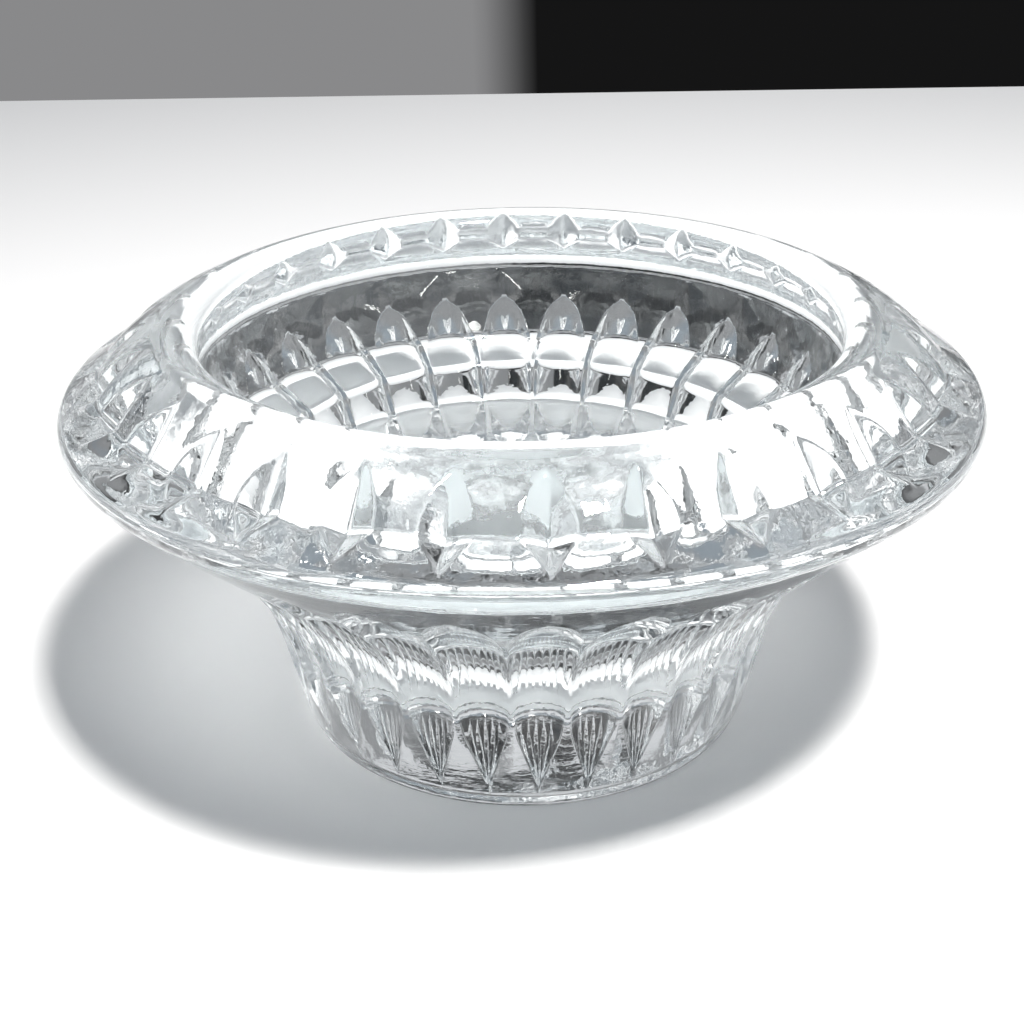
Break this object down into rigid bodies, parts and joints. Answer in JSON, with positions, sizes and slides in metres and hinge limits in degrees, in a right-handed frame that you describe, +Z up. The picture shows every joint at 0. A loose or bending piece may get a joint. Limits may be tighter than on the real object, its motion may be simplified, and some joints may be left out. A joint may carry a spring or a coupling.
{
  "type": "dappen dish",
  "caption": "Small shallow glass bowl on a thick solid base, with a ledge inside, a wide sloping brim, a rounded lip, leaf-shaped cuts round the brim, a fluted tapering body and a plain round foot.",
  "frame": {"origin": "centre of the foot's underside, on the dish's axis", "axes": "+Z up along the dish's axis, out of the bowl's mouth; one cut of each row lies towards -Y"},
  "size_m": [0.09, 0.09, 0.043],
  "materials": {
    "clear_glass": "clear, colourless, fire-polished pressed glass"
  },
  "bodies": {
    "root": {"dish": "clear_glass"}
  },
  "joints": []
}
